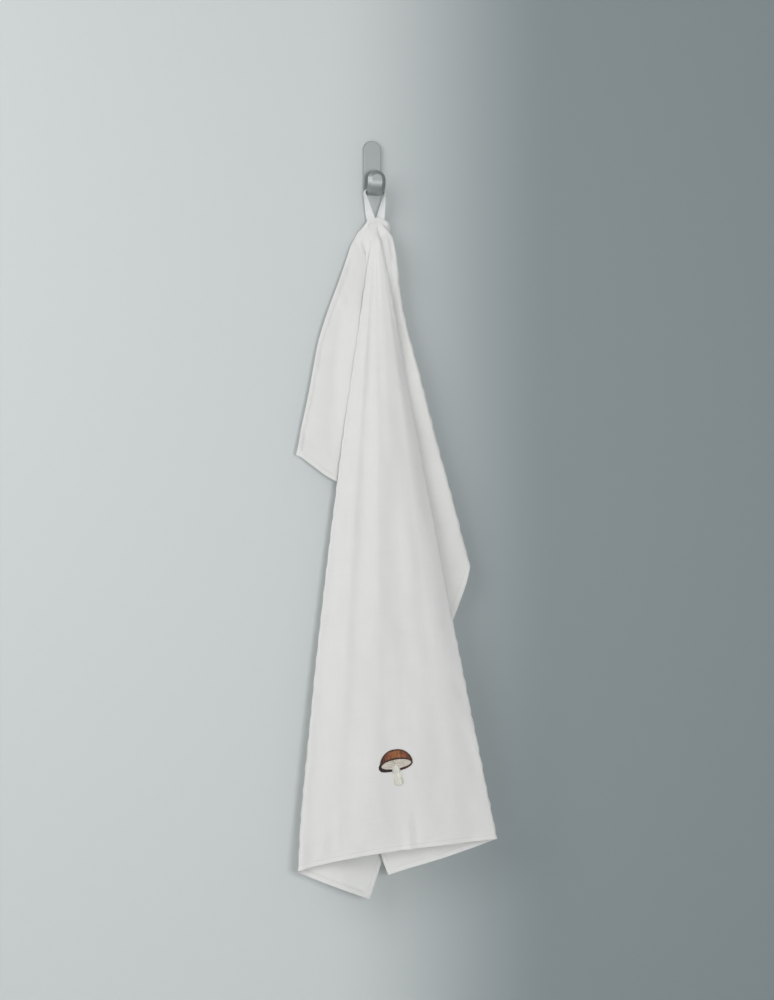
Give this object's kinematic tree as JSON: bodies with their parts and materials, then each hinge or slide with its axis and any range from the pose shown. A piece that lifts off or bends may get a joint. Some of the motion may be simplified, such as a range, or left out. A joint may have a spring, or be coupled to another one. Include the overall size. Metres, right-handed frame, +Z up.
{
  "type": "tea towel on a wall hook",
  "caption": "White woven tea towel hanging in a narrow uneven cone of folds by its sewn tape loop from a plain bent-strip wall hook; dries hands and dishes.",
  "frame": {"origin": "on the back face of the hook's plate, where it meets the wall, midway across the strip", "axes": "+X to the right along the wall, +Y into the wall, +Z up"},
  "size_m": [0.2273, 0.0655, 0.8459],
  "materials": {
    "hook_steel": "matt brushed grey metal",
    "loop_tape": "white woven cotton tape",
    "towel_cloth": "white plain-woven cotton and linen"
  },
  "bodies": {
    "root": {"wall_hook": "hook_steel", "hanging_loop": "loop_tape", "towel": "towel_cloth"}
  },
  "joints": []
}
